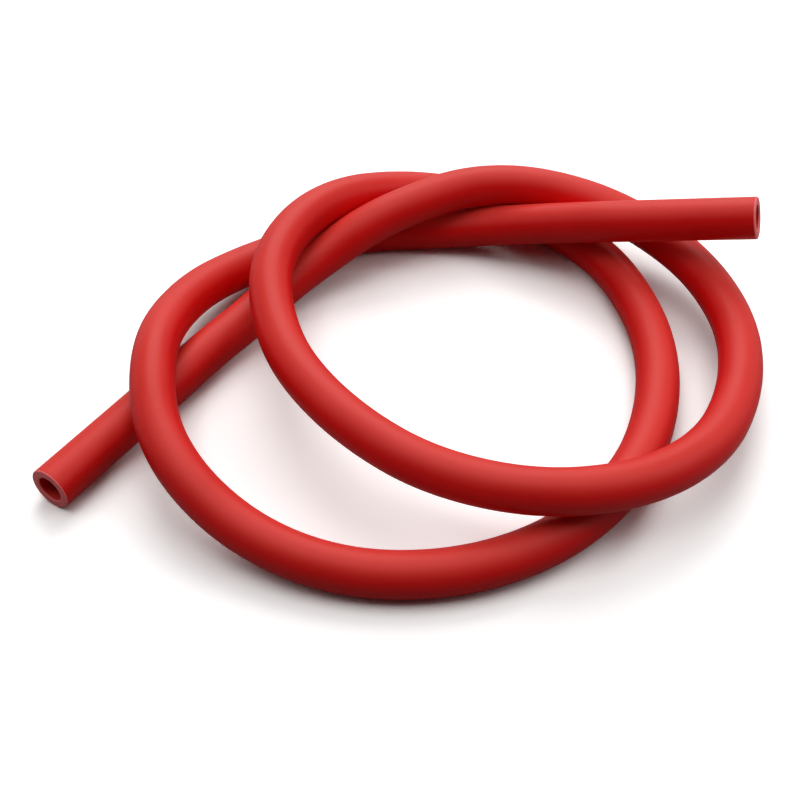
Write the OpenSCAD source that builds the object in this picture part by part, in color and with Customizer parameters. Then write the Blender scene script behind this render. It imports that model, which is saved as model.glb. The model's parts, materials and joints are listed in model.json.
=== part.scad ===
// Rubber vacuum tubing: one extruded length with a round bore, lying in two loose turns.
// Lengths are in millimetres. The tube lies on z = 0, with +X to the right and +Y to the back.

/* [Tube] */

// Diameter of the bore
bore_d = 8; // [5:0.5:12]
// Thickness of the rubber around the bore
wall = 2.5; // [1.5:0.25:6]

/* [Cut ends] */

// Straight length behind each cut end
end_length = 40; // [20:1:60]
// Softening of the cut edges, inside and outside
edge = 0.4; // [0.2:0.1:0.6]

/* [Hidden] */

// Outside diameter of the tube.
od = bore_d + 2 * wall;

// Where two bends meet, one is slimmer by this much and runs this far into the other, so that
// they join into one solid with no two surfaces lying in one another. A straight end is bevelled
// over this length where it takes in its bend, so that its bore leads on without a step.
slim = 0.05;
lap = 0.3;
lead = 0.2;

// Facets of the tube's section, and of a full turn.
section_facets = 48;
turn_facets = 240;

// The centreline from one cut end to the other, in tenths of the tube's diameter, so that a thicker
// tube lies in wider turns: [x, y, height]. A tube on the ground has its centre at 5, and one that
// rides on another at 15. The first and the last point only give the headings of the straight ends.
route = [
    [-78.5, -38.5, 5.0], [-61.0, -13.0, 5.0], [-44.0, 11.5, 5.0], [-27.0, 31.5, 8.0],
    [-5.5, 44.0, 15.6], [20.0, 53.5, 17.0], [44.0, 50.0, 14.6], [64.5, 36.0, 10.2],
    [73.5, 14.5, 9.5], [71.5, -13.0, 10.5], [60.0, -34.0, 12.5], [31.5, -48.5, 16.0],
    [5.5, -44.0, 16.5], [-16.0, -28.0, 17.0], [-31.0, -2.5, 17.5], [-33.0, 24.5, 18.4],
    [-22.5, 45.5, 16.8], [1.0, 59.5, 10.6], [24.0, 58.5, 5.8], [43.0, 44.0, 5.0],
    [54.5, 17.5, 5.0], [54.5, -10.0, 5.0], [44.0, -36.0, 5.0], [22.5, -55.0, 5.0],
    [-7.0, -61.0, 5.0], [-34.0, -52.5, 7.0], [-52.5, -34.5, 13.0], [-58.5, -10.0, 15.5],
    [-54.0, 17.0, 10.8], [-38.5, 37.0, 6.2], [-15.5, 48.5, 5.0], [11.5, 49.5, 6.6],
    [34.0, 42.5, 13.4], [51.5, 35.5, 19.5], [80.0, 27.0, 27.0]
];
on_ground = 5;

function unit(v) = v / norm(v);

// The route's points in space.
way = route * od / 10;
last = len(way) - 2;

// The heading at each point: along the straight at either end, else the tangent of the circle
// through the point and its neighbours, level where the tube lies on the ground.
function circle_heading(i) =
    let (a = way[i] - way[i - 1], b = way[i + 1] - way[i])
    a * norm(b) / norm(a) + b * norm(a) / norm(b);
function heading(i) =
    i <= 1 ? unit(way[1] - way[0]) :
    i == last ? unit(way[last + 1] - way[last]) :
    let (t = circle_heading(i))
    unit([t.x, t.y, route[i].z > on_ground ? t.z : 0]);
headings = [for (i = [0 : last]) heading(i)];

// Two arcs take the tube from one point and heading to the next: where they meet, and how the
// tube heads there.
function reach(v, t, u) =
    let (q = 2 * (1 - t * u), s = v * (t + u))
    q < 1e-6 ? (v * v) / (2 * s) : (sqrt(s * s + q * (v * v)) - s) / q;
function meeting(i) =
    let (
        p = way[i], q = way[i + 1], t = headings[i], u = headings[i + 1],
        d = reach(q - p, t, u)
    )
    [(p + q + d * (t - u)) / 2, unit(q - p - d * (t + u))];

// Every bend as [start, heading there, finish].
bends = [
    for (i = [1 : last - 1])
    let (m = meeting(i))
    each [[way[i], headings[i], m[0]], [m[0], m[1], way[i + 1]]]
];

// How many times slimmer a bend is: every second one, and the last one inside both its neighbours.
function thinning(i) = i == len(bends) - 1 ? 2 : 1 - i % 2;

// One bend: an arc of the tube's section from p, where it heads along t, to q.
module bend(p, t, q, thin) {
    chord = q - p;
    side = unit(chord - t * (chord * t));
    r = (chord * chord) / (2 * (chord * side));
    turn = 2 * atan2(chord * side, chord * t);
    over = thin > 0 ? lap / r * 180 / PI : 0;
    up = cross(-side, t);
    centre = p + side * r;
    multmatrix([
        [-side.x, t.x, up.x, centre.x],
        [-side.y, t.y, up.y, centre.y],
        [-side.z, t.z, up.z, centre.z]
    ])
    rotate_extrude(angle = turn + 2 * over, start = -over, $fn = turn_facets)
    translate([r, 0])
    difference() {
        circle(r = od / 2 - thin, $fn = section_facets);
        circle(r = bore_d / 2 + thin, $fn = section_facets);
    }
}

// A straight end from p along t to its cut face, with softened edges.
module straight_end(p, t) {
    side = unit(cross(t, [0, 0, 1]));
    up = cross(side, t);
    outer = od / 2;
    inner = bore_d / 2;
    bevel = 3 * slim;
    multmatrix([
        [side.x, -up.x, t.x, p.x],
        [side.y, -up.y, t.y, p.y],
        [side.z, -up.z, t.z, p.z]
    ])
    rotate_extrude($fn = section_facets)
    polygon([
        [inner + bevel, 0], [outer - bevel, 0], [outer, lead],
        [outer, end_length - edge], [outer - edge, end_length],
        [inner + edge, end_length], [inner, end_length - edge], [inner, lead]
    ]);
}

module tube() {
    color([0.78, 0.16, 0.15]) {
        straight_end(way[1], -headings[1]);
        for (i = [0 : len(bends) - 1])
            bend(bends[i][0], bends[i][1], bends[i][2], slim * thinning(i));
        straight_end(way[last], headings[last]);
    }
}

tube();
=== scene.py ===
# Rubber vacuum tubing: a length of satin red rubber tube that lies in two loose turns.
import json
import math

import bpy
import numpy as np
from mathutils import Euler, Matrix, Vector


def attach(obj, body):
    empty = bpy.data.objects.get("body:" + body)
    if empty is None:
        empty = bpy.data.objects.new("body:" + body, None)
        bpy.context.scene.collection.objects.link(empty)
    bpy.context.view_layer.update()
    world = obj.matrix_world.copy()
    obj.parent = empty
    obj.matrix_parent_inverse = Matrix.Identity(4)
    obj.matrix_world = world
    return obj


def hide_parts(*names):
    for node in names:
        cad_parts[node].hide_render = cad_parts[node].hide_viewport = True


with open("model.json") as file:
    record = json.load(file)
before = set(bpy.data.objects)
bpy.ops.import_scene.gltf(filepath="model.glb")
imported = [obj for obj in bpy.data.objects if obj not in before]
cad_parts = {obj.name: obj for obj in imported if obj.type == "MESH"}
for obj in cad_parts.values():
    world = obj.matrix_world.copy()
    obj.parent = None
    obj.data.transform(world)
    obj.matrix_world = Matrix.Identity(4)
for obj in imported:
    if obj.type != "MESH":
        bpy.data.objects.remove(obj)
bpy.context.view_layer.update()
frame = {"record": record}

# The tube, in metres
MOUNT = frame["record"]["mounts"][0]["dims"]
BORE_R = MOUNT["r_mm"] / 1000
WALL = 0.0025
OUTER_R = BORE_R + WALL
TUBE_D = 2 * OUTER_R
END_LENGTH = 0.040
EDGE = 0.0004

# Its mesh
RING_STEP = 0.0015
SIDES = 56
EDGE_RINGS = 5
FACE_RINGS = 6

# The centreline from one cut end to the other, in tenths of the tube's diameter: x, y and height. A
# tube on the ground has its centre at 5. The first and the last point only give the headings of the
# straight ends.
ROUTE = [
    (-78.5, -38.5, 5.0), (-61.0, -13.0, 5.0), (-44.0, 11.5, 5.0), (-27.0, 31.5, 8.0),
    (-5.5, 44.0, 15.6), (20.0, 53.5, 17.0), (44.0, 50.0, 14.6), (64.5, 36.0, 10.2),
    (73.5, 14.5, 9.5), (71.5, -13.0, 10.5), (60.0, -34.0, 12.5), (31.5, -48.5, 16.0),
    (5.5, -44.0, 16.5), (-16.0, -28.0, 17.0), (-31.0, -2.5, 17.5), (-33.0, 24.5, 18.4),
    (-22.5, 45.5, 16.8), (1.0, 59.5, 10.6), (24.0, 58.5, 5.8), (43.0, 44.0, 5.0),
    (54.5, 17.5, 5.0), (54.5, -10.0, 5.0), (44.0, -36.0, 5.0), (22.5, -55.0, 5.0),
    (-7.0, -61.0, 5.0), (-34.0, -52.5, 7.0), (-52.5, -34.5, 13.0), (-58.5, -10.0, 15.5),
    (-54.0, 17.0, 10.8), (-38.5, 37.0, 6.2), (-15.5, 48.5, 5.0), (11.5, 49.5, 6.6),
    (34.0, 42.5, 13.4), (51.5, 35.5, 19.5), (80.0, 27.0, 27.0),
]
ROUTE_UNIT = TUBE_D / 10
ON_GROUND = 5

# The camera: 45 degrees down, as in the photograph
CAMERA_AT = (-0.005, -0.306, 0.2977)
CAMERA_PITCH = math.radians(45)
CAMERA_LENS = 63
CAMERA_SENSOR = 36

# The light: four soft boxes, each as its name, how far it stands from straight above and how far round
# from the back to the right, in degrees, its distance and its watts. Their size is a share of their
# distance
LAMPS = [
    ("overhead", 0, 0, 2.0, 14.0), ("behind", 46, 0, 2.0, 24.5),
    ("right", 48, 90, 0.6, 0.95), ("left", 38, 262, 0.6, 0.6),
]
LAMP_SIZE = 0.73
AMBIENT = 0.01

# The floor's colour: to the camera, which sees it bleached as in the photograph, in gloss and glass,
# and as it lights the tube from below
FLOOR_SEEN = (1.37, 1.37, 1.36)
FLOOR_IN_GLOSS = (0.45, 0.45, 0.45)
FLOOR_BOUNCE = (0.28, 0.28, 0.28)

# The floor's rings: radius and height. Its rim rises as a white backdrop. The floor turns from pale to
# white between two distances from the middle
FLOOR_RINGS = [(0.2, 0), (0.45, 0), (0.9, 0), (2.5, 0), (3.5, 1.1)]
FLOOR_SIDES = 64
FLOOR_FADE = (0.2, 0.42)

# The rubber: its colours, each of which wanders between two, plain and pale on top, where dust and a
# painted highlight lighten what faces up, how far up a surface faces where that pale tint begins and
# where it is full, and how rough and glossy it is
CLEAN = ((0.71, 0.004, 0.004), (0.76, 0.007, 0.006))
# The pale tint for what faces up: partly dust, partly a painted highlight of the lamps above
DUSTY_AND_HIGHLIT = ((0.70, 0.038, 0.029), (0.74, 0.048, 0.038))
DUST_AND_HIGHLIGHT_FACING = (0.5, 1)
ROUGHNESS = (0.42, 0.50)
GLOSS = 0.18

# Its pattern: how closely the clouds, the grain and the lines from the die repeat, the lines around the
# tube and along it, and how high the lines and the grain stand, in metres
CLOUDS = 45
GRAIN = 5200
DIE_LINES = (1500, 12)
DIE_LINE_HEIGHT = 0.00002
GRAIN_HEIGHT = 0.00001
RELIEF = 0.3

# The cut faces: colours, roughness, and the closeness and height of their clouds and knife marks
CUT = ((0.94, 0.15, 0.15), (0.97, 0.20, 0.20))
CUT_ROUGHNESS = 0.7
CUT_CLOUDS = 900
KNIFE_MARKS = (400, 400, 4000)
KNIFE_HEIGHT = 0.00005
KNIFE_RELIEF = 0.4


def unit(v):
    return v / np.linalg.norm(v)


def headings(way):
    """The tube's heading at each point: along the straight at either end, else the tangent of the
    circle through the point and its neighbours, level where the tube lies on the ground."""
    out = [unit(way[1] - way[0])]
    for i in range(2, len(way) - 2):
        a = way[i] - way[i - 1]
        b = way[i + 1] - way[i]
        ratio = np.linalg.norm(b) / np.linalg.norm(a)
        t = a * ratio + b / ratio
        if ROUTE[i][2] <= ON_GROUND:
            t[2] = 0
        out.append(unit(t))
    out.append(unit(way[-1] - way[-2]))
    return out


def two_arcs(p, q, t, u):
    """Two arcs that take the tube from p, heading along t, to q, heading along u: each as its start,
    its heading there and its finish."""
    v = q - p
    turn = 2 * (1 - t @ u)
    along = v @ (t + u)
    if turn < 1e-6:
        reach = v @ v / (2 * along)
    else:
        reach = (math.sqrt(along * along + turn * (v @ v)) - along) / turn
    meet = (p + q + reach * (t - u)) / 2
    return [(p, t, meet), (meet, unit(v - reach * (t + u)), q)]


def along_arc(p, t, q):
    """Points and headings about a ring's step apart on the arc from p, heading along t, up to but
    without q."""
    chord = q - p
    side = unit(chord - t * (chord @ t))
    r = chord @ chord / (2 * (chord @ side))
    turn = 2 * math.atan2(chord @ side, chord @ t)
    count = max(2, round(r * turn / RING_STEP))
    return [
        (p + t * r * math.sin(a) + side * r * (1 - math.cos(a)), t * math.cos(a) + side * math.sin(a))
        for a in turn * np.arange(count) / count
    ]


def centreline():
    """The points of the tube's centreline, from one cut end to the other, and its headings there."""
    way = [np.array(point) * ROUTE_UNIT for point in ROUTE]
    heads = headings(way)
    inner = way[1:-1]
    count = round(END_LENGTH / RING_STEP)
    steps = np.arange(count + 1) * END_LENGTH / count
    stations = [(inner[0] - heads[0] * d, heads[0]) for d in steps[:0:-1]]
    for i in range(len(inner) - 1):
        for arc in two_arcs(inner[i], inner[i + 1], heads[i], heads[i + 1]):
            stations += along_arc(*arc)
    stations += [(inner[-1] + heads[-1] * d, heads[-1]) for d in steps]
    points, directions = zip(*stations)
    return np.array(points), np.array(directions)


def cross_directions(head):
    """Two directions across the tube at each point, carried along without twisting."""
    side = unit(np.cross(head[0], (0, 0, 1)))
    sides = []
    for t in head:
        side = unit(side - t * (side @ t))
        sides.append(side)
    sides = np.array(sides)
    return sides, np.cross(head, sides)


def section_profile(path):
    """The tube's section as rings from the middle of the bore out over one cut face, along the
    outside, over the other cut face and back through the bore: (point on the path, shift along it,
    radius)."""
    last = len(path) - 1
    quarter = np.linspace(0, math.pi / 2, EDGE_RINGS + 1)
    rings = [(i, 0.0, BORE_R) for i in range(last // 2, 0, -1)]
    over_start = [(EDGE * (1 - math.sin(a)), BORE_R + EDGE * (1 - math.cos(a))) for a in quarter]
    over_start += [(0.0, r) for r in np.linspace(BORE_R + EDGE, OUTER_R - EDGE, FACE_RINGS)[1:-1]]
    over_start += [(EDGE * (1 - math.cos(a)), OUTER_R - EDGE * (1 - math.sin(a))) for a in quarter]
    rings += [(0, shift, r) for shift, r in over_start]
    rings += [(i, 0.0, OUTER_R) for i in range(1, last)]
    rings += [(last, -shift, r) for shift, r in reversed(over_start)]
    rings += [(i, 0.0, BORE_R) for i in range(last - 1, last // 2, -1)]
    return rings


def tube_mesh(path, head):
    """One closed skin, with the length around the tube and along it, in metres, in its UV map."""
    side, up = cross_directions(head)
    rings = section_profile(path)
    angles = np.arange(SIDES) * 2 * math.pi / SIDES
    rim = np.cos(angles)[:, None, None] * side + np.sin(angles)[:, None, None] * up
    verts = [path[i] + head[i] * shift + rim[:, i] * r for i, shift, r in rings]
    count = len(rings)
    faces = []
    for k in range(count):
        a = k * SIDES
        b = (k + 1) % count * SIDES
        faces += [(a + j, a + (j + 1) % SIDES, b + (j + 1) % SIDES, b + j) for j in range(SIDES)]
    mesh = bpy.data.meshes.new("rubber_tube")
    mesh.from_pydata(np.concatenate(verts).tolist(), [], faces)
    mesh.polygons.foreach_set("use_smooth", [True] * len(faces))
    length = np.concatenate(([0], np.cumsum(np.linalg.norm(np.diff(path, axis=0), axis=1))))
    along = [length[i] + shift for i, shift, r in rings]
    uv = mesh.uv_layers.new(name="UVMap")
    coords = []
    for k in range(count):
        a, b = along[k], along[(k + 1) % count]
        for j in range(SIDES):
            u0, u1 = (x * 2 * math.pi * OUTER_R / SIDES for x in (j, j + 1))
            coords += [u0, a, u1, a, u1, b, u0, b]
    uv.data.foreach_set("uv", coords)
    cut = [i in (0, len(path) - 1) for i, shift, r in rings]
    marks = [int(cut[k] and cut[(k + 1) % count]) for k in range(count)]
    mesh.polygons.foreach_set("material_index", np.repeat(marks, SIDES))
    mesh.update()
    return mesh


def new_material(name):
    material = bpy.data.materials.new(name)
    material.use_nodes = True
    nodes = material.node_tree.nodes
    return material, nodes, material.node_tree.links, nodes["Principled BSDF"]


def noise(nodes, links, vector, scale, detail):
    node = nodes.new("ShaderNodeTexNoise")
    node.inputs["Scale"].default_value = scale
    node.inputs["Detail"].default_value = detail
    links.new(vector, node.inputs["Vector"])
    return node.outputs["Fac"]


def ramp(nodes, links, fac, low, high, start=0.3, stop=0.7):
    node = nodes.new("ShaderNodeMapRange")
    node.inputs["From Min"].default_value = start
    node.inputs["From Max"].default_value = stop
    node.inputs["To Min"].default_value = low
    node.inputs["To Max"].default_value = high
    links.new(fac, node.inputs["Value"])
    return node.outputs["Result"]


def tint(nodes, links, fac, low, high):
    node = nodes.new("ShaderNodeMix")
    node.data_type = "RGBA"
    for name, colour in (("A", low), ("B", high)):
        if isinstance(colour, tuple):
            node.inputs[name].default_value = (*colour, 1)
        else:
            links.new(colour, node.inputs[name])
    links.new(fac, node.inputs["Factor"])
    return node.outputs["Result"]


def combine(nodes, links, operation, first, second):
    node = nodes.new("ShaderNodeMath")
    node.operation = operation
    links.new(first, node.inputs[0])
    links.new(second, node.inputs[1])
    return node.outputs["Value"]


def bump(nodes, links, height, distance, strength, normal=None):
    node = nodes.new("ShaderNodeBump")
    node.inputs["Distance"].default_value = distance
    node.inputs["Strength"].default_value = strength
    links.new(height, node.inputs["Height"])
    if normal is not None:
        links.new(normal, node.inputs["Normal"])
    return node.outputs["Normal"]


def stretched_uv(nodes, links, around, along):
    uv = nodes.new("ShaderNodeUVMap")
    uv.uv_map = "UVMap"
    node = nodes.new("ShaderNodeMapping")
    node.inputs["Scale"].default_value = (around, along, 1)
    links.new(uv.outputs["UV"], node.inputs["Vector"])
    return node.outputs["Vector"]


def rubber():
    """Satin red rubber: faint clouds of colour, a fine grain, faint lines from the die and a pale tint
    on what faces up, partly dust and partly a painted highlight."""
    material, nodes, links, shader = new_material("red_rubber")
    geometry = nodes.new("ShaderNodeNewGeometry").outputs
    clouds = noise(nodes, links, geometry["Position"], CLOUDS, 3)
    grain = noise(nodes, links, geometry["Position"], GRAIN, 2)
    lines = noise(nodes, links, stretched_uv(nodes, links, *DIE_LINES), 1, 3)
    facing = nodes.new("ShaderNodeSeparateXYZ")
    links.new(geometry["Normal"], facing.inputs["Vector"])
    # Surfaces that face up turn pale: dust together with a painted highlight
    dust_and_highlight = ramp(nodes, links, facing.outputs["Z"], 0, 1, *DUST_AND_HIGHLIGHT_FACING)
    patches = ramp(nodes, links, clouds, 0, 1)
    clean = tint(nodes, links, patches, *CLEAN)
    dusty_and_highlit = tint(nodes, links, patches, *DUSTY_AND_HIGHLIT)
    links.new(tint(nodes, links, dust_and_highlight, clean, dusty_and_highlit), shader.inputs["Base Color"])
    links.new(ramp(nodes, links, clouds, *ROUGHNESS), shader.inputs["Roughness"])
    surface = bump(nodes, links, lines, DIE_LINE_HEIGHT, RELIEF)
    surface = bump(nodes, links, grain, GRAIN_HEIGHT, RELIEF, surface)
    links.new(surface, shader.inputs["Normal"])
    shader.inputs["Specular IOR Level"].default_value = GLOSS
    return material


def cut_rubber():
    """The cut faces and their edges: paler and matt, with fine marks from the knife."""
    material, nodes, links, shader = new_material("cut_rubber")
    place = nodes.new("ShaderNodeNewGeometry").outputs["Position"]
    clouds = noise(nodes, links, place, CUT_CLOUDS, 3)
    marks = nodes.new("ShaderNodeMapping")
    marks.inputs["Scale"].default_value = KNIFE_MARKS
    links.new(place, marks.inputs["Vector"])
    strokes = noise(nodes, links, marks.outputs["Vector"], 1, 3)
    colour = tint(nodes, links, ramp(nodes, links, clouds, 0, 1), *CUT)
    links.new(colour, shader.inputs["Base Color"])
    shader.inputs["Roughness"].default_value = CUT_ROUGHNESS
    links.new(bump(nodes, links, strokes, KNIFE_HEIGHT, KNIFE_RELIEF), shader.inputs["Normal"])
    return material


def floor_mesh():
    verts = [(0, 0, 0)]
    angles = np.arange(FLOOR_SIDES) * 2 * math.pi / FLOOR_SIDES
    for radius, height in FLOOR_RINGS:
        verts += [(radius * math.cos(a), radius * math.sin(a), height) for a in angles]
    after = [(j + 1) % FLOOR_SIDES for j in range(FLOOR_SIDES)]
    faces = [(0, 1 + j, 1 + after[j]) for j in range(FLOOR_SIDES)]
    for k in range(len(FLOOR_RINGS) - 1):
        a = 1 + k * FLOOR_SIDES
        b = a + FLOOR_SIDES
        faces += [(a + j, b + j, b + after[j], a + after[j]) for j in range(FLOOR_SIDES)]
    mesh = bpy.data.meshes.new("floor")
    mesh.from_pydata(verts, [], faces)
    return mesh


def floor():
    """A pale matt floor that turns into a white backdrop away from the tube. The white is only seen, and
    gives the tube no light."""
    plane = bpy.data.objects.new("floor", floor_mesh())
    bpy.context.scene.collection.objects.link(plane)
    material, nodes, links, shader = new_material("floor")
    rays = nodes.new("ShaderNodeLightPath").outputs
    colour = tint(nodes, links, rays["Is Glossy Ray"], FLOOR_BOUNCE, FLOOR_IN_GLOSS)
    colour = tint(nodes, links, rays["Is Transmission Ray"], colour, FLOOR_IN_GLOSS)
    colour = tint(nodes, links, rays["Is Camera Ray"], colour, FLOOR_SEEN)
    matt = nodes.new("ShaderNodeBsdfDiffuse")
    links.new(colour, matt.inputs["Color"])
    white = nodes.new("ShaderNodeEmission")
    away = nodes.new("ShaderNodeVectorMath")
    away.operation = "LENGTH"
    links.new(nodes.new("ShaderNodeNewGeometry").outputs["Position"], away.inputs[0])
    share = ramp(nodes, links, away.outputs["Value"], 0, 1, *FLOOR_FADE)
    seen = combine(nodes, links, "MAXIMUM", rays["Is Glossy Ray"], rays["Is Transmission Ray"])
    seen = combine(nodes, links, "MAXIMUM", seen, rays["Is Camera Ray"])
    mix = nodes.new("ShaderNodeMixShader")
    links.new(combine(nodes, links, "MULTIPLY", share, seen), mix.inputs["Fac"])
    links.new(matt.outputs["BSDF"], mix.inputs[1])
    links.new(white.outputs["Emission"], mix.inputs[2])
    links.new(mix.outputs["Shader"], nodes["Material Output"].inputs["Surface"])
    nodes.remove(shader)
    plane.data.materials.append(material)


def lights():
    for name, tilt, turn, away, power in LAMPS:
        lamp = bpy.data.lights.new(name, "AREA")
        lamp.shape = "SQUARE"
        lamp.size = LAMP_SIZE * away
        lamp.energy = power
        obj = bpy.data.objects.new(name, lamp)
        turned = Euler((-math.radians(tilt), 0, -math.radians(turn)))
        obj.rotation_euler = turned
        obj.location = turned.to_matrix() @ Vector((0, 0, away))
        bpy.context.scene.collection.objects.link(obj)
    world = bpy.data.worlds.new("studio")
    bpy.context.scene.world = world
    world.use_nodes = True
    background = world.node_tree.nodes["Background"]
    background.inputs["Color"].default_value = (1, 1, 1, 1)
    background.inputs["Strength"].default_value = AMBIENT


def camera():
    data = bpy.data.cameras.new("camera")
    data.lens = CAMERA_LENS
    data.sensor_width = CAMERA_SENSOR
    data.clip_start = 0.01
    obj = bpy.data.objects.new("camera", data)
    obj.location = CAMERA_AT
    obj.rotation_euler = (CAMERA_PITCH, 0, 0)
    bpy.context.scene.collection.objects.link(obj)
    bpy.context.scene.camera = obj


def tube():
    path, head = centreline()
    piece = bpy.data.objects.new("rubber_tube", tube_mesh(path, head))
    bpy.context.scene.collection.objects.link(piece)
    piece.data.materials.append(rubber())
    piece.data.materials.append(cut_rubber())
    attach(piece, "root")
    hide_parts("tube")


bpy.context.scene.view_settings.view_transform = "Standard"
camera()
tube()
floor()
lights()
